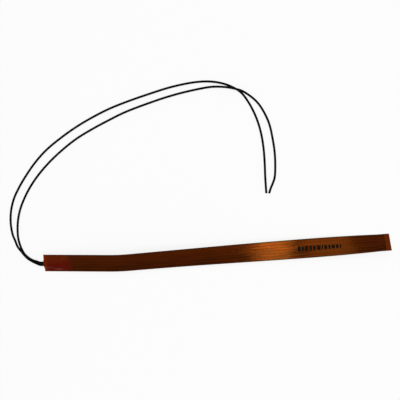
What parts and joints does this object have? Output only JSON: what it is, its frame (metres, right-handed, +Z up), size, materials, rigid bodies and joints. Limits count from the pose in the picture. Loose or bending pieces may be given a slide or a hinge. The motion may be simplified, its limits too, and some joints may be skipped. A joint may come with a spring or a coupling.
{
  "type": "flexible heater strip",
  "caption": "Thin flexible heater strip: an etched foil track laminated between amber polyimide films, with black insulated lead wires leaving one end.",
  "frame": {"origin": "middle of the strip's own box, on the table that it lies on; the free leads are left out of that box", "axes": "+X along the strip from its leads to its far end, +Y across it towards the side where the leads lie, +Z up"},
  "size_m": [0.2515, 0.1261, 0.0112],
  "materials": {
    "film": "glossy amber-brown polyimide film",
    "bond": "clear amber adhesive",
    "foil": "etched alloy foil",
    "patch": "red-brown polyimide tape",
    "copper": "bare stranded copper",
    "solder": "bright solder",
    "insulation": "smooth black fluoropolymer"
  },
  "bodies": {
    "root": {"base_film": "film", "base_bond_ply": "bond", "heating_foil": "foil", "cover_bond_ply": "bond", "cover_film": "film", "termination_patch": "patch", "lead_1_strand_1": "copper", "lead_1_strand_2": "copper", "lead_1_strand_3": "copper", "lead_1_strand_4": "copper", "lead_1_strand_5": "copper", "lead_1_strand_6": "copper", "lead_1_strand_7": "copper", "lead_1_solder_joint": "solder", "lead_1_insulation": "insulation", "lead_2_strand_1": "copper", "lead_2_strand_2": "copper", "lead_2_strand_3": "copper", "lead_2_strand_4": "copper", "lead_2_strand_5": "copper", "lead_2_strand_6": "copper", "lead_2_strand_7": "copper", "lead_2_solder_joint": "solder", "lead_2_insulation": "insulation"}
  },
  "joints": []
}
